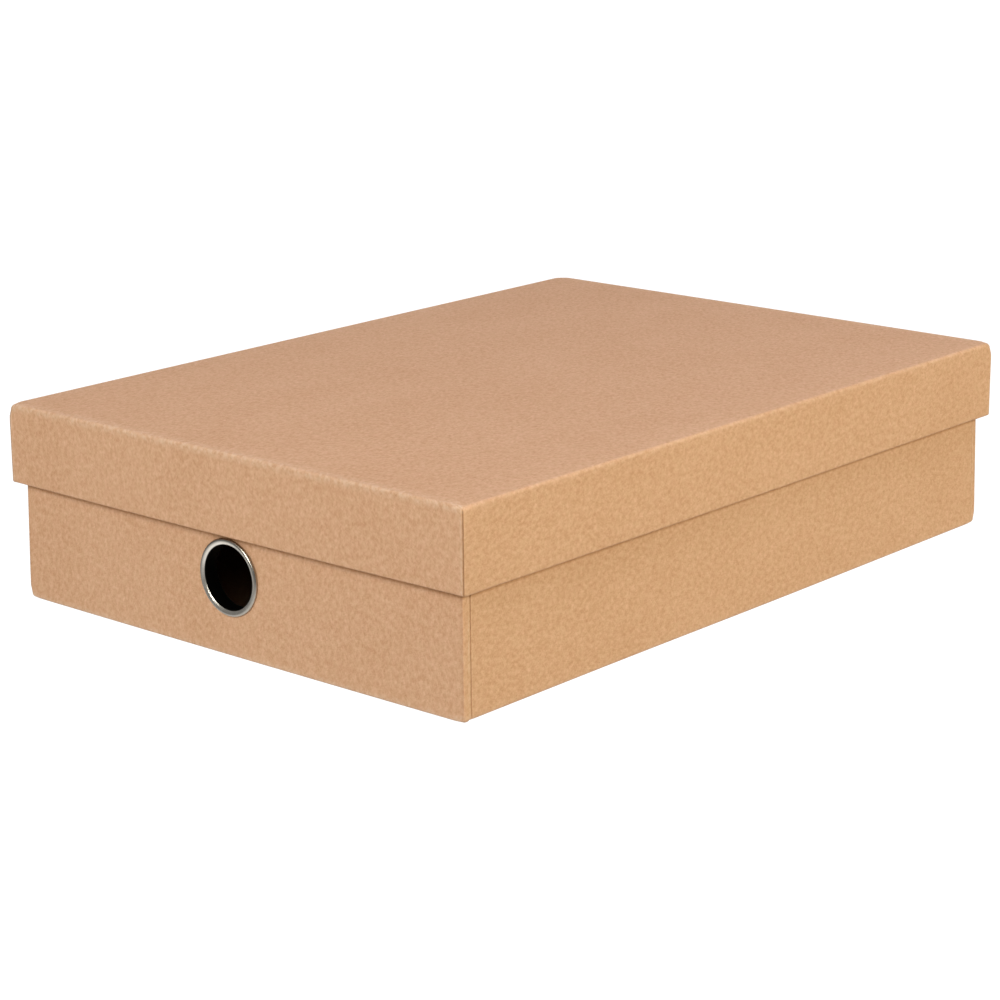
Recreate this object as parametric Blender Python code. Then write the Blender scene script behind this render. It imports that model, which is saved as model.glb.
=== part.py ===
"""Archival storage box: paper-wrapped board, with a lift-off lid and a metal-rimmed finger hole.

Frame: the origin is at the centre of the underside, +Y runs along the box with the finger hole in
the -Y end, and +Z is up. Every length is in metres.

The base and the lid are built alike, as a panel with four walls. Each is a stack of layers: from the
outside in, wrap, corner stay, board, turned-in wrap and liner, with a glue line between any two. A
layer's inset is how far it lies inside the outer faces of the walls, and its height is how far it lies
from the panel's outer face.
"""

import math
from collections import namedtuple

import bmesh
import bpy
from mathutils import Vector

MM = 0.001

# Driving sizes
LID_WIDTH, LID_LENGTH = 240 * MM, 340 * MM
BASE_WIDTH, BASE_LENGTH = 233 * MM, 333 * MM
HEIGHT = 80 * MM
SKIRT = 32 * MM
HOLE_HEIGHT = 31 * MM
EYELET_BORE = 25 * MM

# Thicknesses
WRAP = 0.3 * MM
STAY = 0.2 * MM
LINER = 0.3 * MM
BOARD = 2.0 * MM
SKIRT_BOARD = 1.5 * MM
EYELET_METAL = 0.4 * MM
WASHER_METAL = 0.5 * MM

# Gaps
GLUE = 0.2 * MM
LID_REST_GAP = 0.3 * MM
HOLE_GAP = 0.3 * MM

# Folds, turn-ins and strips
FOLD_RADIUS = 1.2 * MM
BOARD_EDGE_RADIUS = 0.5 * MM
RIM_RADIUS = 0.7 * MM
BASE_TURN_IN = 18 * MM
LID_TURN_IN = 27 * MM
LINER_BELOW_RIM = 12 * MM
STAY_LEG = 22 * MM

# Eyelet and washer
FRONT_ROLL = 1.1 * MM
REAR_ROLL = 0.8 * MM
WASHER_RADIUS = 15.4 * MM
CUTTER_LENGTH = 20 * MM

# Smoothness
FOLD_STEPS = 4
BOARD_EDGE_STEPS = 2
ROLL_STEPS = 7
TURN_STEPS = 44

# Where the layers lie
SHEET_HEIGHT = WRAP + GLUE
STAY_INSET = WRAP + GLUE
BOARD_INSET = STAY_INSET + STAY + GLUE
LIP_INSET = BOARD_INSET + BOARD + GLUE
WALL_LINER_INSET = LIP_INSET + WRAP + GLUE
PANEL_LINER_HEIGHT = SHEET_HEIGHT + BOARD + GLUE
INNER_HEIGHT = PANEL_LINER_HEIGHT + LINER
BASE_HEIGHT = HEIGHT - INNER_HEIGHT - LID_REST_GAP
BORE_RADIUS = EYELET_BORE / 2
HOLE_RADIUS = BORE_RADIUS + EYELET_METAL + HOLE_GAP

Half = namedtuple("Half", "name width length panel_z rise wall_height wall_board turn_in")
BASE = Half("base", BASE_WIDTH, BASE_LENGTH, 0, 1, BASE_HEIGHT, BOARD, BASE_TURN_IN)
LID = Half("lid", LID_WIDTH, LID_LENGTH, HEIGHT, -1, SKIRT, SKIRT_BOARD, LID_TURN_IN)

CORNERS = {"front_left": (-1, -1), "front_right": (1, -1), "rear_left": (-1, 1), "rear_right": (1, 1)}

COLOURS = {
    "kraft_wrap": ((0.60, 0.35, 0.20), 0.8, 0),
    "kraft_liner": ((0.52, 0.36, 0.23), 0.85, 0),
    "greyboard": ((0.33, 0.31, 0.28), 0.9, 0),
    "stay_tape": ((0.46, 0.30, 0.17), 0.6, 0),
    "nickel": ((0.72, 0.71, 0.68), 0.2, 1),
}


def clear_scene():
    for leftover in list(bpy.data.objects):
        bpy.data.objects.remove(leftover)


def make_material(name, colour, roughness, metallic):
    material = bpy.data.materials.new(name)
    material.use_nodes = True
    shader = material.node_tree.nodes["Principled BSDF"]
    shader.inputs["Base Color"].default_value = (*colour, 1)
    shader.inputs["Roughness"].default_value = roughness
    shader.inputs["Metallic"].default_value = metallic
    material.diffuse_color = (*colour, 1)
    return material


def make_empty(name, location):
    empty = bpy.data.objects.new(name, None)
    empty.location = location
    bpy.context.scene.collection.objects.link(empty)
    return empty


def make_object(name, builder, material, parent, centre):
    """The object that a bmesh builder makes. Its origin is at centre, a point in the box's frame."""
    bmesh.ops.recalc_face_normals(builder, faces=builder.faces)
    mesh = bpy.data.meshes.new(name)
    builder.to_mesh(mesh)
    builder.free()
    mesh.materials.append(material)
    made = bpy.data.objects.new(name, mesh)
    made.parent = parent
    made.location = Vector(centre) - parent.location
    bpy.context.scene.collection.objects.link(made)
    return made


def shade_round(obj):
    obj.data.shade_smooth()
    obj.data.set_sharp_from_angle(angle=math.radians(40))


def z_at(half, height):
    return half.panel_z + half.rise * height


def arc(centre, radius, start, end, steps):
    """Points on an arc, with both of its ends. The angles are in degrees."""
    angles = [math.radians(start + (end - start) * i / steps) for i in range(steps + 1)]
    return [(centre[0] + radius * math.cos(a), centre[1] + radius * math.sin(a)) for a in angles]


def plan_outline(half, inset):
    """A half's outline from above, moved in by inset. Its corners tighten until they are all but square."""
    radius = max(FOLD_RADIUS - inset, GLUE)
    x, y = half.width / 2 - inset - radius, half.length / 2 - inset - radius
    quarters = (((x, y), 0), ((-x, y), 90), ((-x, -y), 180), ((x, -y), 270))
    return [p for centre, start in quarters for p in arc(centre, radius, start, start + 90, FOLD_STEPS)]


def loft(rings, closed):
    """A skin over rings of points. It either joins the last ring to the first, or caps both."""
    builder = bmesh.new()
    loops = [[builder.verts.new(point) for point in ring] for ring in rings]
    following = loops[1:] + loops[:1] if closed else loops[1:]
    for loop, after in zip(loops, following):
        for i in range(len(loop)):
            builder.faces.new((loop[i - 1], loop[i], after[i], after[i - 1]))
    if not closed:
        builder.faces.new(loops[0])
        builder.faces.new(loops[-1])
    return builder


def wrap_section(half):
    """The wrap's section as (inset, height).

    It runs over the fold, up the wall, over the rim, down the turned-in lip and back along the inside.
    """
    lip_outside = BOARD_INSET + half.wall_board + GLUE
    lip_inside = lip_outside + WRAP
    lip_end = half.wall_height - half.turn_in
    fold = (FOLD_RADIUS, FOLD_RADIUS)
    rim_height = half.wall_height - RIM_RADIUS
    outer_rim, inner_rim = (RIM_RADIUS, rim_height), (lip_inside - RIM_RADIUS, rim_height)
    outside = arc(fold, FOLD_RADIUS, 270, 180, FOLD_STEPS)
    outside += arc(outer_rim, RIM_RADIUS, 180, 90, FOLD_STEPS)
    outside += arc(inner_rim, RIM_RADIUS, 90, 0, FOLD_STEPS)
    lip = [(lip_inside, lip_end), (lip_outside, lip_end)]
    inside = arc(inner_rim, RIM_RADIUS - WRAP, 0, 90, FOLD_STEPS)
    inside += arc(outer_rim, RIM_RADIUS - WRAP, 90, 180, FOLD_STEPS)
    inside += arc(fold, FOLD_RADIUS - WRAP, 180, 270, FOLD_STEPS)
    return outside + lip + inside


def make_wrap(half, material, parent):
    """One sheet over the panel and its four walls, turned in over their rim."""
    rings = []
    for inset, height in wrap_section(half):
        z = z_at(half, height) - parent.location.z
        rings.append([(x, y, z) for x, y in plan_outline(half, inset)])
    wrap = make_object(f"{half.name}_wrap", loft(rings, closed=False), material, parent, parent.location)
    shade_round(wrap)
    return wrap


def make_board(name, low, high, eased, material, parent):
    """A flat board between two corners.

    eased lists its rounded edges, each as the sum of the directions of its two faces.
    """
    low, high = Vector(low), Vector(high)
    builder = bmesh.new()
    bmesh.ops.create_cube(builder, size=2)
    wanted = [Vector(direction) for direction in eased]
    edges = [edge for edge in builder.edges if (edge.verts[0].co + edge.verts[1].co) / 2 in wanted]
    bmesh.ops.scale(builder, vec=(high - low) / 2, verts=builder.verts)
    if edges:
        bmesh.ops.bevel(
            builder,
            geom=edges,
            offset=BOARD_EDGE_RADIUS,
            segments=BOARD_EDGE_STEPS,
            profile=0.5,
            affect="EDGES",
        )
    return make_object(name, builder, material, parent, (low + high) / 2)


def make_wall_boards(half, material, parent):
    """The side boards run the whole length, and the end boards stand between them."""
    x, y = half.width / 2 - BOARD_INSET, half.length / 2 - BOARD_INSET
    thickness = half.wall_board
    bottom, top = sorted(z_at(half, h) for h in (SHEET_HEIGHT, half.wall_height - SHEET_HEIGHT))
    fold = -half.rise
    boards = {}
    for side, out in (("left", -1), ("right", 1)):
        near, far = sorted((out * x, out * (x - thickness)))
        eased = [(out, 0, fold), (out, -1, 0), (out, 1, 0), (0, -1, fold), (0, 1, fold)]
        name = f"{half.name}_{side}_board"
        boards[side] = make_board(name, (near, -y, bottom), (far, y, top), eased, material, parent)
    reach = x - thickness - GLUE
    for end, out in (("front", -1), ("rear", 1)):
        near, far = sorted((out * y, out * (y - thickness)))
        name = f"{half.name}_{end}_board"
        low, high = (-reach, near, bottom), (reach, far, top)
        boards[end] = make_board(name, low, high, [(0, out, fold)], material, parent)
    return boards


def make_panel(half, name, height, thickness, material, parent):
    """A flat sheet between the walls."""
    inset = BOARD_INSET + half.wall_board + GLUE
    x, y = half.width / 2 - inset, half.length / 2 - inset
    bottom, top = sorted(z_at(half, h) for h in (height, height + thickness))
    return make_board(name, (-x, -y, bottom), (x, y, top), [], material, parent)


def make_corner_stays(half, material, parent):
    """Strips of gummed paper folded round the boards' corners, which hold the walls together."""
    outer, inner = FOLD_RADIUS - STAY_INSET, FOLD_RADIUS - STAY_INSET - STAY
    outline = [(outer, -STAY_LEG), *arc((0, 0), outer, 0, 90, FOLD_STEPS), (-STAY_LEG, outer)]
    outline += [(-STAY_LEG, inner), *arc((0, 0), inner, 90, 0, FOLD_STEPS), (inner, -STAY_LEG)]
    bottom, top = sorted(z_at(half, h) for h in (FOLD_RADIUS, half.wall_height - RIM_RADIUS))
    middle, reach = (bottom + top) / 2, (top - bottom) / 2
    for corner, (sx, sy) in CORNERS.items():
        centre = (sx * (half.width / 2 - FOLD_RADIUS), sy * (half.length / 2 - FOLD_RADIUS), middle)
        rings = [[(sx * x, sy * y, z) for x, y in outline] for z in (-reach, reach)]
        name = f"{half.name}_{corner}_corner_stay"
        shade_round(make_object(name, loft(rings, closed=False), material, parent, centre))


def make_wall_liner(material, parent):
    """A band of paper round the inside of the base's walls, over the turned-in edge of the wrap."""
    outer, inner = WALL_LINER_INSET, WALL_LINER_INSET + LINER
    bottom, top = INNER_HEIGHT + GLUE, BASE_HEIGHT - LINER_BELOW_RIM
    middle = (bottom + top) / 2
    section = ((outer, bottom), (outer, top), (inner, top), (inner, bottom))
    rings = [[(x, y, z - middle) for x, y in plan_outline(BASE, inset)] for inset, z in section]
    return make_object("base_wall_liner", loft(rings, closed=True), material, parent, (0, 0, middle))


def cut_finger_hole(objects, material, parent):
    """A hole through each object where the eyelet passes the front wall."""
    builder = bmesh.new()
    bmesh.ops.create_cone(
        builder,
        cap_ends=True,
        segments=TURN_STEPS,
        radius1=HOLE_RADIUS,
        radius2=HOLE_RADIUS,
        depth=CUTTER_LENGTH,
    )
    centre = (0, -BASE_LENGTH / 2, HOLE_HEIGHT)
    cutter = make_object("finger_hole_cutter", builder, material, parent, centre)
    cutter.rotation_euler.x = math.radians(90)
    cutter.hide_render = True
    cutter.display_type = "WIRE"
    for cut in objects:
        hole = cut.modifiers.new("finger_hole", "BOOLEAN")
        hole.operation = "DIFFERENCE"
        hole.solver = "EXACT"
        hole.object = cutter


def thickened(path, thickness):
    """The closed outline of a sheet of that thickness whose middle follows the path."""
    points = [Vector(point) for point in path]
    sides = ([], [])
    for i, point in enumerate(points):
        along = points[min(i + 1, len(points) - 1)] - points[max(i - 1, 0)]
        across = Vector((-along.y, along.x)).normalized() * thickness / 2
        sides[0].append(point + across)
        sides[1].append(point - across)
    return sides[0] + sides[1][::-1]


def make_turned(name, section, material, parent):
    """A ring about the finger hole's axis.

    Its section is (radius, depth), where depth is how far behind the front wall's outer face it lies.
    """
    builder = bmesh.new()
    corners = [builder.verts.new((radius, 0, depth)) for radius, depth in section]
    edges = [builder.edges.new((corners[i - 1], corners[i])) for i in range(len(corners))]
    bmesh.ops.spin(
        builder,
        geom=corners + edges,
        cent=(0, 0, 0),
        axis=(0, 0, 1),
        angle=math.tau,
        steps=TURN_STEPS,
        use_merge=True,
    )
    ring = make_object(name, builder, material, parent, (0, -BASE_LENGTH / 2, HOLE_HEIGHT))
    ring.rotation_euler.x = math.radians(-90)
    shade_round(ring)


def make_eyelet(material, parent):
    """A tube of sheet metal through the front wall, rolled outward in front and over a washer behind."""
    washer_front = WALL_LINER_INSET + LINER + GLUE
    washer_back = washer_front + WASHER_METAL
    middle = BORE_RADIUS + EYELET_METAL / 2
    front, rear = (middle + FRONT_ROLL, -2 * GLUE), (middle + REAR_ROLL, washer_back + 2 * GLUE)
    path = [(front[0] + FRONT_ROLL, -GLUE), *arc(front, FRONT_ROLL, 0, -180, ROLL_STEPS)]
    path += [*arc(rear, REAR_ROLL, 180, 0, ROLL_STEPS), (rear[0] + REAR_ROLL, washer_back + GLUE)]
    make_turned("eyelet", thickened(path, EYELET_METAL), material, parent)
    inner = BORE_RADIUS + EYELET_METAL + GLUE
    section = [(inner, washer_front), (WASHER_RADIUS, washer_front)]
    section += [(WASHER_RADIUS, washer_back), (inner, washer_back)]
    make_turned("eyelet_washer", section, material, parent)


def make_half(half, panel_name, liner_name, materials, parent):
    """What the base and the lid have in common. It returns the wrap and the front board."""
    wrap = make_wrap(half, materials["kraft_wrap"], parent)
    boards = make_wall_boards(half, materials["greyboard"], parent)
    make_panel(half, panel_name, SHEET_HEIGHT, BOARD, materials["greyboard"], parent)
    make_panel(half, liner_name, PANEL_LINER_HEIGHT, LINER, materials["kraft_liner"], parent)
    make_corner_stays(half, materials["stay_tape"], parent)
    return wrap, boards["front"]


def main():
    clear_scene()
    materials = {name: make_material(name, *look) for name, look in COLOURS.items()}
    base = make_empty("base", (0, 0, 0))
    lid = make_empty("lid", (0, 0, HEIGHT - SKIRT))
    make_half(LID, "lid_top_board", "lid_top_liner", materials, lid)
    wrap, front_board = make_half(BASE, "base_bottom_board", "base_floor_liner", materials, base)
    wall_liner = make_wall_liner(materials["kraft_liner"], base)
    cut_finger_hole([wrap, front_board, wall_liner], materials["nickel"], base)
    make_eyelet(materials["nickel"], base)


main()
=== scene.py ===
"""Archival storage box in detail: paper-wrapped boards, folded corners and a rolled nickel eyelet.

Every length is in metres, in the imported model's frame: the origin is at the centre of the underside, +Y
runs along the box with the finger hole in the -Y end, and +Z is up.

Each half, the base or the lid, is a panel with four walls. A layer's inset is how far it lies inside
the outer faces of the walls, and its height is how far it lies from the panel's outer face.
"""

import math
from collections import namedtuple

import bmesh
import bpy
from mathutils import Matrix, Vector, noise


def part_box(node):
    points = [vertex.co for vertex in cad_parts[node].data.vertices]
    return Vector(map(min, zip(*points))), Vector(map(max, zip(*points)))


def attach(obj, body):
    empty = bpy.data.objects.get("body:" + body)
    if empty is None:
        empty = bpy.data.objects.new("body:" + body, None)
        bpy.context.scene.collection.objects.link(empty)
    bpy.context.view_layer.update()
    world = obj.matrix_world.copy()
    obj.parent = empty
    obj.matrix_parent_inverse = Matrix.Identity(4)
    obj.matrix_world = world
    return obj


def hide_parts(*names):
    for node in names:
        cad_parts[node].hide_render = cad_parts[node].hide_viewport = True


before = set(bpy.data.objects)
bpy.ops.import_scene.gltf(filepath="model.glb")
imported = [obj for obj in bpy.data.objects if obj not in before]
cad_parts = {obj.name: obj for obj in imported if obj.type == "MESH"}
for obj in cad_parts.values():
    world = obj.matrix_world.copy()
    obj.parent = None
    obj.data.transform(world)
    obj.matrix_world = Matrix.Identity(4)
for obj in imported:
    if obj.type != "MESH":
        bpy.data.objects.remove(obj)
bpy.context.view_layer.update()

MM = 0.001

# Paper, board and metal
PAPER = 0.3 * MM
GLUE = 0.2 * MM
FLAP_STEP = 0.16 * MM
SEAM_GROOVE = 0.06 * MM
EYELET_METAL = 0.4 * MM
EYELET_BORE = 12.5 * MM
ROLL_FLATNESS = 0.6
ROLL_SKEW = 0.4
BASE_TURN_IN = 18 * MM
LID_TURN_IN = 27 * MM
HOLE_CLEARANCE = 0.7 * MM

# Folds
FOLD_RADIUS = 1.45 * MM
RIM_RADIUS = 0.7 * MM
INSIDE_RADIUS = 0.35 * MM
KNUCKLE_RADIUS = 1.5 * MM
KNUCKLE_HEIGHT = 6 * MM
BLUNTED = 6 * MM
WORN_WALL = 1.8 * MM

# Where a side wall's fold stands off the table: how far inside the wall and how far up it the lift dies
# away, how far before the seam it starts, and how it fades from front (1) to rear (-1)
FOOT_INSIDE = (1.2 * MM, 2.2 * MM)
FOOT_UP = (2 * MM, 14 * MM)
FOOT_BEFORE_SEAM = (1.4 * MM, 0.2 * MM)
FOOT_FADE = (-0.25, 0.6)

# The share of the way from the panel's middle to a wall over which the wall's bow takes hold
BOW_HOLD = (0.5, 0.9)

# How finely the paper is divided
FOLD_STEPS = 8
RIM_STEPS = 4
WALL_STEPS = 14
LIP_STEPS = 6
SIDE_SPACING = 9 * MM
CORNER_ZONE = 28 * MM
PANEL_MARGIN = 6 * MM
TURN_STEPS = 128
ROLL_STEPS = 18
BOARD_CUTS = 12

# How uneven the paper lies
COCKLE = 0.05 * MM
COCKLE_SIZE = 30 * MM

# How pale the fold is painted along the sides and at the corners, against the ends, and how far that
# reaches: partly wear and partly a painted highlight on the fold
SIDE_FOLD_PALING = 0.35
CORNER_PALING = 1.8
CORNER_PALING_REACH = 3 * MM

# Each paper's darkest and palest colours
WRAP_COLOURS = ((0.490, 0.247, 0.114), (0.710, 0.443, 0.276))
LINER_COLOURS = ((0.44, 0.27, 0.14), (0.56, 0.36, 0.21))

# Light: the surroundings' strength below and above the horizon, and each softbox's name, direction,
# distance, size, power and colour
GLOW_BELOW = 1.0
GLOW_ABOVE = 0.2
DOME = 6
SOFTBOXES = (
    ("front", (0.11, -0.85, 0.51), 2.2, 1.0, 29.7, (1, 0.995, 0.92)),
    ("right", (0.90, 0.12, 0.42), 2.2, 0.65, 28.8, (1, 0.945, 0.63)),
    ("overhead", (0.12, 0.24, 0.98), 1.7, 1.0, 8.1, (0.99, 1.05, 1.52)),
    ("camera_side", (0.55, -0.70, 0.45), 2.2, 0.35, 1.0, (1, 1, 1)),
    ("left", (-0.63, -0.27, 0.73), 2.2, 0.9, 1.5, (1, 1, 1)),
)

# Half: rise is 1 for a tray and -1 for a lid, and lip is the depth from the outside to the inside of its
# walls' boards. corner is the vertical edges' radius, blunt how far the panel's corners are pressed in, and
# seam how far the side flap's cut edge lies from the vertical edge. seam_shade, edge_shade, fold_shade and
# rim_shade are how strong the painted shade is in the seam's crevice, along the vertical edge's fold, where
# the fold meets the table and under the rim. foot is how far the side walls' folds stand off the table in
# front. lean is how far every wall leans out, and bows how far each one bows out in the middle, both in
# millimetres at the fold and at the rim. crown is how far the panel rises.
Half = namedtuple(
    "Half",
    "body low high rise lip turn_in corner blunt seam seam_shade edge_shade fold_shade rim_shade"
    " foot lean bows crown",
)
# Row: a place on the wrap's section, the way it faces, its distance along the paper, how much of the side
# flap's thickness shows there, how pale the paper is painted there, partly for wear and partly as a painted
# highlight on the fold, and how much of the fold's painted contact shade it takes.
Row = namedtuple("Row", "inset height facing run raised wear fold")
# Column: a place on the outline, as a station along the wall that faces that way, or as the distance q
# from the middle of a corner, which is positive along the box's side.
Column = namedtuple("Column", "facing station corner q on_side")

base_low, base_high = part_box("base_wrap")
lid_low, lid_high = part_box("lid_wrap")

BASE = Half(
    body="base",
    low=base_low,
    high=base_high,
    rise=1,
    lip=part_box("base_left_board")[1].x - base_low.x + GLUE,
    turn_in=BASE_TURN_IN,
    corner=0.5 * MM,
    blunt=0.2 * MM,
    seam=3.5 * MM,
    seam_shade=0.3,
    edge_shade=0.13,
    fold_shade=0.4,
    rim_shade=0,
    foot=0.5 * MM,
    lean=(0.3, -0.9),
    bows={"front": (0.45, 0.45), "rear": (0.3, 0.3), "left": (0.05, 0.2), "right": (0.05, 0.2)},
    crown=0,
)
LID = Half(
    body="lid",
    low=lid_low,
    high=lid_high,
    rise=-1,
    lip=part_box("lid_left_board")[1].x - lid_low.x + GLUE,
    turn_in=LID_TURN_IN,
    corner=0.7 * MM,
    blunt=0.45 * MM,
    seam=0.1 * MM,
    seam_shade=0.62,
    edge_shade=0,
    fold_shade=0,
    rim_shade=0.42,
    foot=0,
    lean=(0, 0),
    bows={"front": (0.2, 1.1), "rear": (0.3, 0.6), "left": (0.15, 0.5), "right": (0.15, 0.5)},
    crown=0.25 * MM,
)


def smooth(low, high, value):
    """0 below low, 1 above high, and an even curve between them."""
    t = min(max((value - low) / (high - low), 0), 1)
    return t * t * (3 - 2 * t)


def bell(centre, width, value):
    """1 at the centre, falling away to either side."""
    return math.exp(-(((value - centre) / width) ** 2))


# ---------------------------------------------------------------- pieces and bodies


def make_piece(name, builder, body, material, replaced):
    """The mesh that a bmesh builder holds, as a piece that rides a body and stands for CAD nodes."""
    bmesh.ops.recalc_face_normals(builder, faces=builder.faces)
    mesh = bpy.data.meshes.new(name)
    builder.to_mesh(mesh)
    builder.free()
    mesh.materials.append(material)
    mesh.shade_smooth()
    mesh.set_sharp_from_angle(angle=math.radians(38))
    piece = bpy.data.objects.new(name, mesh)
    bpy.context.scene.collection.objects.link(piece)
    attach(piece, body)
    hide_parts(*replaced)
    return piece


def cut_hole(piece, cutter):
    """Cuts the finger hole through a piece, for good."""
    hole = piece.modifiers.new("finger_hole", "BOOLEAN")
    hole.operation = "DIFFERENCE"
    hole.solver = "EXACT"
    hole.object = cutter
    bpy.context.view_layer.update()
    shape = piece.evaluated_get(bpy.context.evaluated_depsgraph_get())
    cut = bpy.data.meshes.new_from_object(shape)
    piece.modifiers.clear()
    piece.data = cut


# ---------------------------------------------------------------- the shape of a wrapped half


def reach(half):
    """Half the width and half the length of a half."""
    return half.high.x, half.high.y


def wall_height(half):
    return half.high.z - half.low.z


def z_at(half, height):
    return half.low.z + height if half.rise > 0 else half.high.z - height


def foot_lift(half, x, y, height):
    """How far the fold of a side wall stands off the table there, beside the end flap's tab."""
    wide, long = reach(half)
    start, full = FOOT_BEFORE_SEAM
    lift = half.foot * smooth(*FOOT_FADE, -y / long) * (1 - smooth(*FOOT_UP, height))
    lift *= 1 - smooth(*FOOT_INSIDE, wide - abs(x))
    return lift * smooth(half.seam - start, half.seam - full, long - abs(y))


def pressed_in(half, x, y, height):
    """How far the panel's corner is pressed in there, along each axis."""
    wide, long = reach(half)
    near_corner = smooth(wide - BLUNTED, wide, abs(x)) * smooth(long - BLUNTED, long, abs(y))
    return half.blunt * near_corner * (1 - smooth(0, BLUNTED, height))


def bowed(half, point):
    """Where a point of the straight-walled half lies once its walls lean and bow and its panel crowns.

    It keeps the order of the layers, so that a board stays inside its paper.
    """
    x, y, z = point
    wide, long = reach(half)
    across, along = x / wide, y / long
    height = z - half.low.z if half.rise > 0 else half.high.z - z
    up = min(max(height / wall_height(half), 0), 1)

    def outward(side):
        at_fold, at_rim = half.bows[side]
        return (at_fold + (at_rim - at_fold) * up) * MM

    lean = (half.lean[0] + (half.lean[1] - half.lean[0]) * up) * MM
    side = outward("right" if across > 0 else "left") * max(1 - along**2, 0) + lean
    end = outward("rear" if along > 0 else "front") * max(1 - across**2, 0) + lean
    side *= smooth(*BOW_HOLD, abs(across))
    end *= smooth(*BOW_HOLD, abs(along))
    crown = half.crown * max(1 - across**4, 0) * max(1 - along**4, 0) * (1 - up)
    inward = pressed_in(half, x, y, height)
    lift = foot_lift(half, x, y, height) + inward - crown
    signs = Vector((math.copysign(1, x), math.copysign(1, y), half.rise))
    return point + Vector((side - inward, end - inward, lift)) * signs


def cockled(point):
    """How far the paper stands off its board, which varies slowly from place to place."""
    return noise.noise(point / COCKLE_SIZE) * COCKLE


def corner_radius(half, height):
    """The vertical edge's radius, which grows into a rounder knuckle near the panel."""
    return KNUCKLE_RADIUS + (half.corner - KNUCKLE_RADIUS) * smooth(1 * MM, KNUCKLE_HEIGHT, height)


def wrap_rows(half):
    """The outside of the wrap's section: over the fold, up the wall, over the rim and down the lip."""
    rows = []

    def add(inset, height, facing, raised, wear):
        run = 0
        if rows:
            run = rows[-1].run + math.dist((inset, height), (rows[-1].inset, rows[-1].height))
        # fold: how much of the painted contact shade a row takes, strongest at the very bottom of the fold
        fold = 1 - 0.6 * smooth(0, 0.4 * FOLD_RADIUS, height)
        fold *= 1 - smooth(0.2 * FOLD_RADIUS, 0.9 * FOLD_RADIUS, height)
        rows.append(Row(inset, height, facing, run, raised, wear, fold))

    def add_arc(centre, radius, start, end, steps, wear, paling_at_ends=0):
        for i in range(steps + 1):
            angle = math.radians(start + (end - start) * i / steps)
            facing = (math.cos(angle), math.sin(angle))
            inset, height = centre[0] + radius * facing[0], centre[1] + radius * facing[1]
            raised = smooth(0.1 * FOLD_RADIUS, FOLD_RADIUS, height)
            bulge = math.sin(math.pi * i / steps)
            add(inset, height, facing, raised, paling_at_ends + (wear - paling_at_ends) * bulge)

    def add_straight(inset, start, end, facing, steps):
        for i in range(1, steps):
            add(inset, start + (end - start) * i / steps, facing, 1, 0)

    inside = half.lip + PAPER
    top = wall_height(half) - RIM_RADIUS
    add_arc((FOLD_RADIUS, FOLD_RADIUS), FOLD_RADIUS, 270, 180, FOLD_STEPS, 1, 0.8)
    below_fold = FOLD_RADIUS + WORN_WALL
    add(0, (FOLD_RADIUS + below_fold) / 2, (-1, 0), 1, 0.35)
    add(0, below_fold, (-1, 0), 1, 0)
    add(0, below_fold + WORN_WALL, (-1, 0), 1, 0)
    add_straight(0, below_fold + WORN_WALL, top, (-1, 0), WALL_STEPS)
    add_arc((RIM_RADIUS, top), RIM_RADIUS, 180, 90, RIM_STEPS, 0.2)
    add_arc((inside - RIM_RADIUS, top), RIM_RADIUS, 90, 0, RIM_STEPS, 0.4)
    add_straight(inside, top, wall_height(half) - half.turn_in, (1, 0), LIP_STEPS)
    add(inside, wall_height(half) - half.turn_in, (1, 0), 1, 0)
    return rows


def corner_steps(half):
    """Places round a corner, as (distance from its middle, whether it is on the side flap).

    The side flap starts at the seam with a cut edge, which lies over the end flap's tab.
    """
    fine = [i * 0.3 * MM for i in range(-13, 17)]
    coarse = [sign * d * MM for d in (6.5, 9, 13, 18) for sign in (-1, 1)]
    near_seam = [-1.1, -0.8, -0.5, -0.25, -0.02, 0.02, 0.16, 0.4, 0.8, 1.2]
    clear = [q for q in fine + coarse if not near_seam[0] < (q - half.seam) / MM < near_seam[-1]]
    steps = [(q, q > half.seam) for q in clear]
    steps += [(half.seam + d * MM, d > 0) for d in near_seam]
    return sorted(steps)


def wrap_columns(half):
    """The wrap's columns in order round the box, anticlockwise from above, starting on the right."""
    wide, long = reach(half)
    steps = corner_steps(half)
    columns = []
    for facing, length in (((1, 0), long), ((0, 1), wide), ((-1, 0), long), ((0, -1), wide)):
        on_side = facing[0] != 0
        reached = length - CORNER_ZONE
        count = round(2 * reached / SIDE_SPACING)
        for i in range(count + 1):
            columns.append(Column(facing, reached * (2 * i / count - 1), None, None, on_side))
        corner = (facing[0] - facing[1], facing[1] + facing[0])
        for q, on_flap in reversed(steps) if on_side else steps:
            columns.append(Column(None, None, corner, q, on_flap))
    return columns


def outline_point(half, column, inset, radius):
    """A column's point on the outline at an inset, and the way that the outline faces there."""
    wide, long = reach(half)
    if column.corner is None:
        facing = Vector(column.facing)
        size = wide if column.on_side else long
        return facing * (size - inset) + facing.orthogonal() * column.station, facing
    centre = Vector((wide - inset - radius, long - inset - radius))
    half_arc = math.pi * radius / 4
    past = max(abs(column.q) - half_arc, 0)
    angle = math.pi / 4 - max(min(column.q, half_arc), -half_arc) / radius
    facing = Vector((math.cos(angle), math.sin(angle)))
    point = centre + radius * facing
    if column.q > 0:
        point.y -= past
    else:
        point.x -= past
    signs = Vector(column.corner)
    return point * signs, facing * signs


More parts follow.
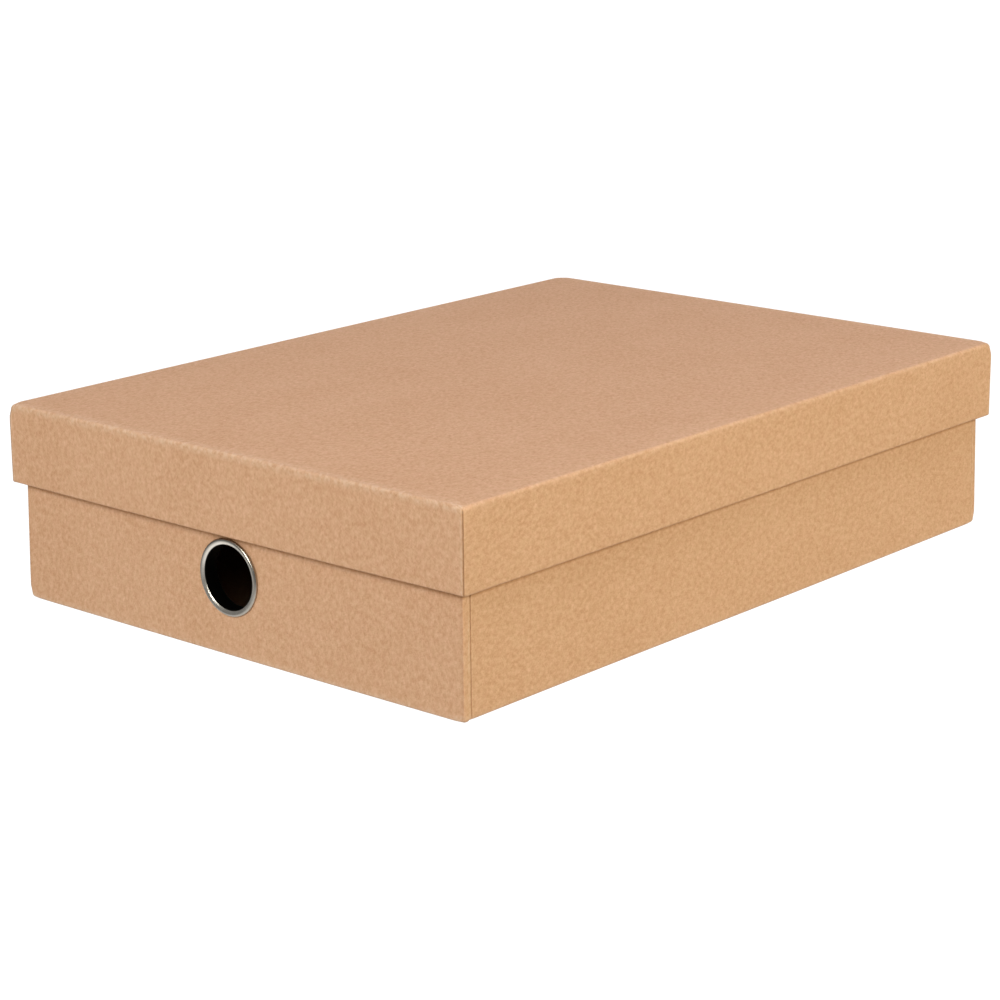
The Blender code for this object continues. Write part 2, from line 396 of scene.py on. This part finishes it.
def seam_profile(half, column):
    """The flap's rise, the groove beside it, and near the seam the paper's painted shade in the seam's
    crevice and along the vertical edge, and its painted highlight on the edges beside the seam.
    """
    if column.corner is None:
        return 0.2 if column.on_side else 0, 0, 0, 0
    d = (column.q - half.seam) / MM
    if column.on_side:
        rise = 0.2 + 0.8 * (1 - smooth(8, 16, d)) + 0.12 * bell(0.16, 0.25, d)
        return rise, 0, half.seam_shade * bell(0, 0.1, d), 0.3 * bell(0.5, 0.35, d)
    edge = half.edge_shade * bell(-0.6, 0.6, column.q / MM)
    return 0, bell(0, 0.2, d), max(half.seam_shade * smooth(-0.55, -0.3, d), edge), bell(-1, 0.4, d)


def sheet_place(half, row, column, side_flap):
    """Where a point of the wall lies on the flat sheet that the wrap is folded from."""
    wide, long = reach(half)
    if column.corner is None:
        sign = column.facing[0] + column.facing[1]
        station = Vector(column.facing).orthogonal() * column.station
        if side_flap:
            return sign * (wide - FOLD_RADIUS + row.run), station.y
        return station.x, sign * (long - FOLD_RADIUS + row.run)
    sx, sy = column.corner
    if side_flap:
        return sx * (wide - FOLD_RADIUS + row.run), sy * (long - column.q)
    return sx * (wide + column.q), sy * (long - FOLD_RADIUS + row.run)


def make_wrap(half, material):
    """One sheet over the panel and its four walls, with the side flaps over the end flaps' tabs."""
    builder = bmesh.new()
    # One layer holds painted shade, the other a paleness that is partly wear and partly painted highlight
    painted_shade_layer = builder.verts.layers.float.new("painted_shade")
    wear_and_highlight_layer = builder.verts.layers.float.new("wear")
    sheet = builder.loops.layers.uv.new("sheet")
    rows, columns = wrap_rows(half), wrap_columns(half)

    def add_vertex(point, painted_shade, wear):
        vertex = builder.verts.new(bowed(half, point))
        vertex[painted_shade_layer] = painted_shade
        vertex[wear_and_highlight_layer] = wear
        return vertex

    def add_face(vertices, places):
        face = builder.faces.new(vertices)
        for loop, place in zip(face.loops, places):
            loop[sheet].uv = place

    def ring(row, inside):
        radius = max(corner_radius(half, row.height) - row.inset, INSIDE_RADIUS)
        made = []
        for column in columns:
            place, out = outline_point(half, column, row.inset, radius)
            rise, groove, painted_shade, wear = seam_profile(half, column)
            facing = Vector((-row.facing[0] * out.x, -row.facing[0] * out.y, half.rise * row.facing[1]))
            point = Vector((*place, z_at(half, row.height)))
            if inside:
                point -= facing * PAPER
            else:
                step = (rise * FLAP_STEP - groove * SEAM_GROOVE) * row.raised
                point += facing * (step + cockled(point) * row.raised)
            # Painted shade under the rim where the paper faces down, where the fold meets the table, in the
            # seam's crevice and along the vertical edge
            under_rim = half.rim_shade * max(row.facing[1], 0)
            dark = max(painted_shade * row.raised, half.fold_shade * row.fold, under_rim)
            # The fold's paleness: partly wear and partly a painted highlight, stronger at the corners and
            # weaker on the side folds
            fold_paling = row.wear * (1 - 0.4 * half.fold_shade) * (SIDE_FOLD_PALING if column.on_side else 1)
            if column.corner is not None:
                fold_paling *= 1 + (CORNER_PALING - 1) * bell(-1 * MM, CORNER_PALING_REACH, column.q)
            made.append(add_vertex(point, dark, max(wear * row.raised, fold_paling)))
        return made

    def join_rings(one, other, row, next_row):
        for i in range(len(columns)):
            a, b = columns[i - 1], columns[i]
            side_flap = a.on_side and b.on_side
            places = [
                sheet_place(half, r, c, side_flap)
                for r, c in ((row, a), (row, b), (next_row, b), (next_row, a))
            ]
            add_face((one[i - 1], one[i], other[i], other[i - 1]), places)

    outer = [ring(row, False) for row in rows]
    inner = [ring(row, True) for row in rows]
    for i in range(len(rows) - 1):
        join_rings(outer[i], outer[i + 1], rows[i], rows[i + 1])
        join_rings(inner[i], inner[i + 1], rows[i], rows[i + 1])
    join_rings(outer[-1], inner[-1], rows[-1], rows[-1])

    wide, long = reach(half)
    first = rows[0]
    radius = corner_radius(half, first.height) - first.inset
    edge = [outline_point(half, column, first.inset, radius)[0] for column in columns]
    lines_x = sorted({round(p.x, 7) for p in edge if abs(p.x) < wide - PANEL_MARGIN})
    lines_y = sorted({round(p.y, 7) for p in edge if abs(p.y) < long - PANEL_MARGIN})

    def nearest(lines, value):
        return min(range(len(lines)), key=lambda i: abs(lines[i] - value))

    targets = [(nearest(lines_x, p.x), nearest(lines_y, p.y)) for p in edge]
    for edge_ring, height in ((outer[0], 0), (inner[0], PAPER)):
        grid = {}
        for i, x in enumerate(lines_x):
            for j, y in enumerate(lines_y):
                flat = Vector((x, y, z_at(half, height)))
                margin = smooth(0, 30 * MM, min(wide - abs(x), long - abs(y)))
                lift = cockled(flat) * margin if half.crown else 0
                grid[i, j] = add_vertex(flat - Vector((0, 0, half.rise * lift)), 0, 0)
        for i in range(len(lines_x) - 1):
            for j in range(len(lines_y) - 1):
                corners = ((i, j), (i + 1, j), (i + 1, j + 1), (i, j + 1))
                add_face([grid[c] for c in corners], [(lines_x[a], lines_y[b]) for a, b in corners])
        for i in range(len(columns)):
            one, other = targets[i - 1], targets[i]
            corners = [(edge_ring[i - 1], edge[i - 1]), (edge_ring[i], edge[i])]
            corners.append((grid[other], (lines_x[other[0]], lines_y[other[1]])))
            if one != other:
                corners.append((grid[one], (lines_x[one[0]], lines_y[one[1]])))
            add_face([vertex for vertex, _ in corners], [place for _, place in corners])
    name = f"{half.body}_wrap_folded"
    return make_piece(name, builder, half.body, material, [f"{half.body}_wrap"])


# ---------------------------------------------------------------- boards, stays and liners


def make_bowed_copy(half, node, material):
    """A CAD board, stay or liner, finely cut so that it follows the bow of its walls."""
    builder = bmesh.new()
    builder.from_mesh(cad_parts[node].data)
    bmesh.ops.remove_doubles(builder, verts=builder.verts, dist=0.001 * MM)
    low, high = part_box(node)
    for axis in (0, 1):
        if high[axis] - low[axis] < 10 * MM:
            continue
        for i in range(1, BOARD_CUTS):
            at = Vector((0, 0, 0))
            at[axis] = low[axis] + (high[axis] - low[axis]) * i / BOARD_CUTS
            normal = Vector((0, 0, 0))
            normal[axis] = 1
            whole = builder.verts[:] + builder.edges[:] + builder.faces[:]
            bmesh.ops.bisect_plane(builder, geom=whole, dist=0.0001 * MM, plane_co=at, plane_no=normal)
    for vertex in builder.verts:
        vertex.co = bowed(half, vertex.co)
    return make_piece(f"{node}_bowed", builder, half.body, material, [node])


# ---------------------------------------------------------------- the eyelet


def thickened(path, thickness):
    """The closed outline of a sheet of that thickness whose middle follows the path."""
    points = [Vector(point) for point in path]
    sides = ([], [])
    for i, point in enumerate(points):
        along = points[min(i + 1, len(points) - 1)] - points[max(i - 1, 0)]
        across = Vector((-along.y, along.x)).normalized() * thickness / 2
        sides[0].append(point + across)
        sides[1].append(point - across)
    return sides[0] + sides[1][::-1]


def arc(centre, radius, start, end, steps):
    """Points on an arc, with both of its ends. The angles are in degrees."""
    angles = [math.radians(start + (end - start) * i / steps) for i in range(steps + 1)]
    return [(centre[0] + radius * math.cos(a), centre[1] + radius * math.sin(a)) for a in angles]


def make_turned(name, section, material):
    """A ring about the finger hole's axis, from (radius, distance behind the front wall) points."""
    low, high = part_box(name)
    centre = bowed(BASE, Vector(((low.x + high.x) / 2, base_low.y, (low.z + high.z) / 2)))
    builder = bmesh.new()
    corners = [builder.verts.new((radius, 0, depth)) for radius, depth in section]
    edges = [builder.edges.new((corners[i - 1], corners[i])) for i in range(len(corners))]
    bmesh.ops.spin(
        builder,
        geom=corners + edges,
        cent=(0, 0, 0),
        axis=(0, 0, 1),
        angle=math.tau,
        steps=TURN_STEPS,
        use_merge=True,
    )
    turn = Matrix.Rotation(math.radians(-90), 4, "X")
    bmesh.ops.transform(builder, matrix=Matrix.Translation(centre) @ turn, verts=builder.verts)
    return make_piece(f"{name}_turned", builder, "base", material, [name])


def make_eyelet(material):
    """A tube of thin metal through the front wall, rolled outward in front and over its washer behind."""
    low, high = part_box("eyelet")
    washer_low, washer_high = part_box("eyelet_washer")
    outer = (high.x - low.x) / 2
    front_face, rear_face = base_low.y - low.y, high.y - base_low.y
    metal = EYELET_METAL / 2
    front_roll = front_face - 2 * GLUE - metal
    middle = outer - 2 * front_roll - metal
    washer_back = washer_high.y - base_low.y
    rear_roll = rear_face - washer_back - 2 * GLUE - metal
    front = (middle + front_roll, -2 * GLUE)
    rear = (middle + rear_roll, washer_back + 2 * GLUE)
    path = [(front[0] + front_roll, -GLUE)]
    for radius, depth in arc(front, front_roll, 0, -180, ROLL_STEPS):
        crest = 1 + ROLL_SKEW * (radius - front[0]) / front_roll
        path.append((radius, front[1] + (depth - front[1]) * ROLL_FLATNESS * crest))
    path += [*arc(rear, rear_roll, 180, 0, ROLL_STEPS), (rear[0] + rear_roll, washer_back + GLUE)]
    make_turned("eyelet", thickened(path, EYELET_METAL), material)
    washer_front = washer_low.y - base_low.y
    washer_outer = (washer_high.x - washer_low.x) / 2
    inner = middle + metal + GLUE
    ease = 0.12 * MM
    section = [(inner, washer_front), (washer_outer - ease, washer_front)]
    section += [(washer_outer, washer_front + ease), (washer_outer, washer_back - ease)]
    section += [(washer_outer - ease, washer_back), (inner, washer_back)]
    make_turned("eyelet_washer", section, material)


def make_hole_cutter():
    """A rod through the front wall, as wide as the hole in the paper."""
    low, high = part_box("eyelet")
    roll = base_low.y - low.y - 2 * GLUE - EYELET_METAL / 2
    bore = (high.x - low.x) / 2 - 2 * roll - EYELET_METAL
    builder = bmesh.new()
    bmesh.ops.create_cone(
        builder,
        cap_ends=True,
        segments=TURN_STEPS // 2,
        radius1=bore + HOLE_CLEARANCE,
        radius2=bore + HOLE_CLEARANCE,
        depth=20 * MM,
    )
    mesh = bpy.data.meshes.new("hole_cutter")
    builder.to_mesh(mesh)
    builder.free()
    cutter = bpy.data.objects.new("hole_cutter", mesh)
    cutter.location = ((low.x + high.x) / 2, base_low.y, (low.z + high.z) / 2)
    cutter.rotation_euler.x = math.radians(90)
    bpy.context.scene.collection.objects.link(cutter)
    return cutter


# ---------------------------------------------------------------- materials


class Nodes:
    """A material's node tree, with short ways to add the nodes that these materials share."""

    def __init__(self, name):
        self.material = bpy.data.materials.new(name)
        self.material.use_nodes = True
        self.tree = self.material.node_tree
        self.shader = self.tree.nodes["Principled BSDF"]

    def add(self, kind, **settings):
        node = self.tree.nodes.new("ShaderNode" + kind)
        for setting, value in settings.items():
            setattr(node, setting, value)
        return node

    def put(self, socket, value):
        """Links an output to a socket, or sets the socket to a number or a colour."""
        if isinstance(value, bpy.types.NodeSocket):
            self.tree.links.new(value, socket)
        else:
            socket.default_value = value

    def math(self, operation, one, other):
        node = self.add("Math", operation=operation)
        self.put(node.inputs[0], one)
        self.put(node.inputs[1], other)
        return node.outputs[0]

    def mix(self, factor, one, other, blend="MIX"):
        node = self.add("Mix", data_type="RGBA", blend_type=blend)
        self.put(node.inputs["Factor"], factor)
        self.put(node.inputs["A"], one)
        self.put(node.inputs["B"], other)
        return node.outputs["Result"]

    def remap(self, value, low, high, to_low=0.0, to_high=1.0):
        node = self.add("MapRange")
        for name, number in zip(("From Min", "From Max", "To Min", "To Max"), (low, high, to_low, to_high)):
            node.inputs[name].default_value = number
        self.put(node.inputs["Value"], value)
        return node.outputs["Result"]

    def in_millimetres(self, metres):
        scale = self.add("VectorMath", operation="SCALE")
        self.put(scale.inputs[0], metres)
        scale.inputs["Scale"].default_value = 1 / MM
        return scale.outputs[0]

    def flat_sheet(self):
        """The paper's own flat coordinates, in millimetres."""
        return self.in_millimetres(self.add("UVMap", uv_map="sheet").outputs["UV"])

    def solid(self):
        """The object's own coordinates, in millimetres."""
        return self.in_millimetres(self.add("TexCoord").outputs["Object"])

    def grain(self, place, size, turn=0.0, detail=2.0, roughness=0.5, offset=0.0):
        """Noise whose features are size millimetres along two axes, turned by an angle in degrees."""
        turned = self.add("Mapping", vector_type="TEXTURE")
        turned.inputs["Rotation"].default_value = (0, 0, math.radians(turn))
        turned.inputs["Location"].default_value = (offset, offset, offset)
        turned.inputs["Scale"].default_value = (size[0], size[1], min(size))
        self.put(turned.inputs["Vector"], place)
        node = self.add("TexNoise", noise_dimensions="3D")
        node.inputs["Scale"].default_value = 1
        node.inputs["Detail"].default_value = detail
        node.inputs["Roughness"].default_value = roughness
        self.put(node.inputs["Vector"], turned.outputs["Vector"])
        return node.outputs["Fac"]

    def attribute(self, name):
        return self.add("Attribute", attribute_name=name).outputs["Fac"]

    def bump(self, height, distance, strength=1.0):
        node = self.add("Bump")
        node.inputs["Distance"].default_value = distance
        node.inputs["Strength"].default_value = strength
        self.put(node.inputs["Height"], height)
        self.put(self.shader.inputs["Normal"], node.outputs["Normal"])


def fibres(nodes, place):
    """Short paper fibres lying every way, mostly along the sheet: their mean is about 0.5."""
    layers = [
        nodes.grain(place, (0.5, 1.8), turn, 1, 0.5, offset)
        for turn, offset in ((8, 0), (67, 31), (-38, 77))
    ]
    total = nodes.math("ADD", nodes.math("ADD", layers[0], layers[1]), layers[2])
    return nodes.math("MULTIPLY", total, 1 / 3)


def painted_rim_shadow(nodes):
    """1 on the narrow band of the base's walls just below the lid's rim, where a shadow is painted, and 0
    elsewhere.
    """
    axes = nodes.add("SeparateXYZ")
    nodes.put(axes.inputs[0], nodes.solid())
    height, rim = axes.outputs["Z"], lid_low.z / MM
    from_below = nodes.remap(height, rim - 2.8, rim - 2.0)
    return nodes.math("MULTIPLY", from_below, nodes.remap(height, rim - 0.9, rim - 0.1, 1, 0))


def worn_and_painted_light(nodes, place, colour):
    """The wrap's colour with its folds paled by wear and painted highlight, painted shade in its seams,
    folds and rim, and a painted shadow below the lid's rim.
    """
    painted_shade = nodes.attribute("painted_shade")
    speckle = nodes.remap(nodes.grain(place, (1.3, 2.6), 35, 2, 0.6, 29), 0.42, 0.64, 0.15, 1)
    # Paleness on the folds and beside the seams, in specks: partly wear and partly painted highlight
    paling = nodes.math("MULTIPLY", nodes.math("MULTIPLY", nodes.attribute("wear"), speckle), 0.5)
    colour = nodes.mix(paling, colour, (0.74, 0.54, 0.38, 1))
    # Painted shade in the seams, folds and rim
    colour = nodes.mix(nodes.math("MULTIPLY", painted_shade, 0.85), colour, (0.17, 0.075, 0.024, 1))
    nodes.put(nodes.shader.inputs["Specular IOR Level"], nodes.remap(painted_shade, 0, 0.4, 0.5, 0))
    # Painted shadow on the base's walls just below the lid's rim
    return nodes.mix(painted_rim_shadow(nodes), colour, (0.80, 0.71, 0.55, 1), "MULTIPLY")


def kraft(name, dark, light, place_of, is_wrap):
    """Brown kraft paper: fibres, blotchy formation, a pinker cast in patches and a few stray flecks."""
    nodes = Nodes(name)
    place = place_of(nodes)
    fibre = fibres(nodes, place)
    mottle = nodes.grain(place, (1.6, 2.3), 12, 1, 0.5, 5)
    blotch = nodes.grain(place, (3.4, 5.2), -15, 2, 0.55, 17)
    cloud = nodes.grain(place, (26, 38), 0, 2, 0.5, 11)
    fleck = nodes.grain(place, (0.35, 1.3), 52, 1, 0.5, 41)
    layers = (
        (nodes.remap(fibre, 0.38, 0.62), 0.42),
        (nodes.remap(mottle, 0.3, 0.7), 0.34),
        (nodes.remap(blotch, 0.3, 0.7), 0.14),
        (nodes.remap(cloud, 0.3, 0.7), 0.10),
    )
    tone = 0.0
    for layer, share in layers:
        tone = nodes.math("ADD", nodes.math("MULTIPLY", layer, share), tone)
    colour = nodes.mix(tone, (*dark, 1), (*light, 1))
    hue = nodes.grain(place, (2.2, 3.4), -25, 1, 0.5, 63)
    colour = nodes.mix(nodes.remap(hue, 0.35, 0.65, 0, 0.4), colour, (1.03, 0.98, 1.03, 1), "MULTIPLY")
    colour = nodes.mix(nodes.remap(fleck, 0.68, 0.80, 0, 0.55), colour, tuple(c * 0.72 for c in dark) + (1,))
    if is_wrap:
        colour = worn_and_painted_light(nodes, place, colour)
    nodes.put(nodes.shader.inputs["Base Color"], colour)
    nodes.put(nodes.shader.inputs["Roughness"], nodes.remap(fibre, 0.3, 0.7, 0.72, 0.58))
    height = nodes.math("ADD", fibre, nodes.math("MULTIPLY", mottle, 0.6))
    nodes.bump(height, 0.05 * MM, 0.8)
    return nodes.material


def greyboard():
    """Recycled board: grey pulp with darker and paler specks and a coarse felt of fibres."""
    nodes = Nodes("greyboard")
    place = nodes.solid()
    pulp = nodes.grain(place, (1.4, 2.2), 15, 3, 0.6, 3)
    speck = nodes.grain(place, (0.5, 0.7), 60, 1, 0.5, 19)
    colour = nodes.mix(nodes.remap(pulp, 0.3, 0.7), (0.27, 0.25, 0.22, 1), (0.40, 0.37, 0.33, 1))
    colour = nodes.mix(nodes.remap(speck, 0.66, 0.74), colour, (0.12, 0.11, 0.10, 1))
    colour = nodes.mix(nodes.remap(speck, 0.34, 0.27), colour, (0.55, 0.52, 0.47, 1))
    nodes.put(nodes.shader.inputs["Base Color"], colour)
    nodes.put(nodes.shader.inputs["Roughness"], nodes.remap(pulp, 0.3, 0.7, 0.95, 0.82))
    nodes.bump(pulp, 0.08 * MM)
    return nodes.material


def stay_tape():
    """Gummed kraft tape, darker and smoother than the wrap."""
    nodes = Nodes("stay_tape")
    place = nodes.solid()
    fibre = fibres(nodes, place)
    colour = nodes.mix(nodes.remap(fibre, 0.33, 0.67), (0.38, 0.24, 0.13, 1), (0.52, 0.35, 0.21, 1))
    nodes.put(nodes.shader.inputs["Base Color"], colour)
    nodes.put(nodes.shader.inputs["Roughness"], nodes.remap(fibre, 0.3, 0.7, 0.62, 0.48))
    nodes.bump(fibre, 0.03 * MM)
    return nodes.material


def nickel():
    """Nickel plate with faint smears and fine scuffs, with painted shade where it meets the paper and its
    bore painted nearly black.
    """
    nodes = Nodes("nickel")
    place = nodes.solid()
    smear = nodes.grain(place, (3.5, 5), 30, 3, 0.6, 7)
    scuff = nodes.grain(place, (0.12, 2.4), 75, 2, 0.6, 23)
    colour = nodes.mix(nodes.remap(smear, 0.3, 0.7), (0.73, 0.675, 0.59, 1), (0.83, 0.78, 0.70, 1))
    low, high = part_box("eyelet")
    across = nodes.add("VectorMath", operation="MULTIPLY")
    nodes.put(across.inputs[0], place)
    across.inputs[1].default_value = (1, 0, 1)
    from_axis = nodes.add("VectorMath", operation="DISTANCE")
    nodes.put(from_axis.inputs[0], across.outputs[0])
    from_axis.inputs[1].default_value = ((low.x + high.x) / 2 / MM, 0, (low.z + high.z) / 2 / MM)
    radius, outer, bore = from_axis.outputs["Value"], (high.x - low.x) / 2 / MM, EYELET_BORE / MM
    # Painted shade on the roll's outer slope where it meets the paper
    painted_contact_shade = nodes.remap(radius, outer - 1.6, outer - 0.5, 0, 0.62)
    # The bore is painted nearly black, a painted shade for the dark inside of the box
    inside = nodes.remap(radius, bore + 0.2, bore + 0.42, 1, 0)
    colour = nodes.mix(painted_contact_shade, colour, (0.21, 0.185, 0.15, 1))
    colour = nodes.mix(inside, colour, (0.010, 0.010, 0.009, 1))
    nodes.put(nodes.shader.inputs["Base Color"], colour)
    nodes.shader.inputs["Metallic"].default_value = 1
    wiped = nodes.math("MULTIPLY", nodes.remap(smear, 0.3, 0.7), 0.06)
    roughness = nodes.math("ADD", wiped, nodes.remap(scuff, 0.3, 0.8, 0.19, 0.24))
    roughness = nodes.math("ADD", roughness, nodes.math("MULTIPLY", inside, 0.3))
    nodes.put(nodes.shader.inputs["Roughness"], roughness)
    nodes.bump(scuff, 0.001 * MM)
    return nodes.material


# ---------------------------------------------------------------- camera, lights and floor


def make_camera():
    """A long lens level with the box's near corner, which sees the front end and the right side."""
    azimuth, elevation, roll = math.radians(41.15), math.radians(15.46), math.radians(-0.48)
    distance, aim_right, aim_up = 1162.9 * MM, -9.08 * MM, 24.28 * MM
    back = Vector((
        math.sin(azimuth) * math.cos(elevation),
        -math.cos(azimuth) * math.cos(elevation),
        math.sin(elevation),
    ))
    level = Vector((math.cos(azimuth), math.sin(azimuth), 0))
    right = Matrix.Rotation(roll, 3, back) @ level
    up = back.cross(right)
    data = bpy.data.cameras.new("camera")
    data.lens = 99.99
    data.sensor_width = 36
    data.clip_start = 0.05
    data.clip_end = 50
    camera = bpy.data.objects.new("camera", data)
    turned = Matrix((right, up, back)).transposed().to_4x4()
    camera.matrix_world = Matrix.Translation(right * aim_right + up * aim_up + back * distance) @ turned
    bpy.context.scene.collection.objects.link(camera)
    bpy.context.scene.camera = camera


def make_softbox(name, direction, distance, size, power, colour):
    """A square area light that faces the box from a direction."""
    data = bpy.data.lights.new(name, "AREA")
    data.size = size
    data.energy = power
    data.color = colour
    light = bpy.data.objects.new(name, data)
    light.location = Vector(direction).normalized() * distance
    light.rotation_mode = "QUATERNION"
    light.rotation_quaternion = (-light.location).to_track_quat("-Z", "Y")
    bpy.context.scene.collection.objects.link(light)


def make_studio():
    """Even white surroundings that are brightest below, as over a lit white table, and softboxes."""
    scene = bpy.context.scene
    scene.view_settings.view_transform = "Standard"
    world = bpy.data.worlds.new("studio")
    world.use_nodes = True
    tree = world.node_tree
    place = tree.nodes.new("ShaderNodeTexCoord")
    axes = tree.nodes.new("ShaderNodeSeparateXYZ")
    tree.links.new(place.outputs["Generated"], axes.inputs[0])
    glow = tree.nodes.new("ShaderNodeMapRange")
    glow.interpolation_type = "SMOOTHSTEP"
    levels = (("From Min", -0.8), ("From Max", 0.0), ("To Min", GLOW_BELOW), ("To Max", GLOW_ABOVE))
    for socket, level in levels:
        glow.inputs[socket].default_value = level
    tree.links.new(axes.outputs["Z"], glow.inputs["Value"])
    background = tree.nodes["Background"]
    background.inputs["Color"].default_value = (1, 1, 1, 1)
    tree.links.new(glow.outputs["Result"], background.inputs["Strength"])
    scene.world = world
    for light in SOFTBOXES:
        make_softbox(*light)


def make_white(name):
    """A material that glows evenly white, for the floor and the backdrop that only the camera sees."""
    nodes = Nodes(name)
    nodes.shader.inputs["Base Color"].default_value = (0, 0, 0, 1)
    nodes.shader.inputs["Specular IOR Level"].default_value = 0
    nodes.shader.inputs["Emission Color"].default_value = (1, 1, 1, 1)
    nodes.shader.inputs["Emission Strength"].default_value = 1.1
    return nodes.material


def make_backdrop():
    """A white floor under a white dome, which light the camera's view and nothing else."""
    floor = bmesh.new()
    bmesh.ops.create_grid(floor, x_segments=8, y_segments=8, size=DOME)
    dome = bmesh.new()
    bmesh.ops.create_icosphere(dome, subdivisions=4, radius=DOME)
    for name, builder, z in (("floor", floor, base_low.z - 0.1 * MM), ("dome", dome, 0)):
        mesh = bpy.data.meshes.new(name)
        builder.to_mesh(mesh)
        builder.free()
        mesh.materials.append(make_white(name))
        shown = bpy.data.objects.new(name, mesh)
        shown.location.z = z
        shown.visible_diffuse = False
        shown.visible_glossy = False
        shown.visible_transmission = False
        shown.visible_shadow = False
        bpy.context.scene.collection.objects.link(shown)


# ---------------------------------------------------------------- assembly


def make_half(half, panel, liner, materials):
    """A half's wrap, boards, corner stays and panel liner."""
    wrap = make_wrap(half, materials["kraft_wrap"])
    for wall in ("front", "rear", "left", "right"):
        make_bowed_copy(half, f"{half.body}_{wall}_board", materials["greyboard"])
    make_bowed_copy(half, panel, materials["greyboard"])
    for corner in ("front_left", "front_right", "rear_left", "rear_right"):
        make_bowed_copy(half, f"{half.body}_{corner}_corner_stay", materials["stay_tape"])
    make_bowed_copy(half, liner, materials["kraft_liner"])
    return wrap


def main():
    materials = {
        "kraft_wrap": kraft("kraft_wrap", *WRAP_COLOURS, Nodes.flat_sheet, is_wrap=True),
        "kraft_liner": kraft("kraft_liner", *LINER_COLOURS, Nodes.solid, is_wrap=False),
        "greyboard": greyboard(),
        "stay_tape": stay_tape(),
        "nickel": nickel(),
    }
    make_camera()
    make_studio()
    make_backdrop()
    wrap = make_half(BASE, "base_bottom_board", "base_floor_liner", materials)
    make_half(LID, "lid_top_board", "lid_top_liner", materials)
    make_bowed_copy(BASE, "base_wall_liner", materials["kraft_liner"])
    cutter = make_hole_cutter()
    cut_hole(wrap, cutter)
    bpy.data.objects.remove(cutter)
    make_eyelet(materials["nickel"])


main()
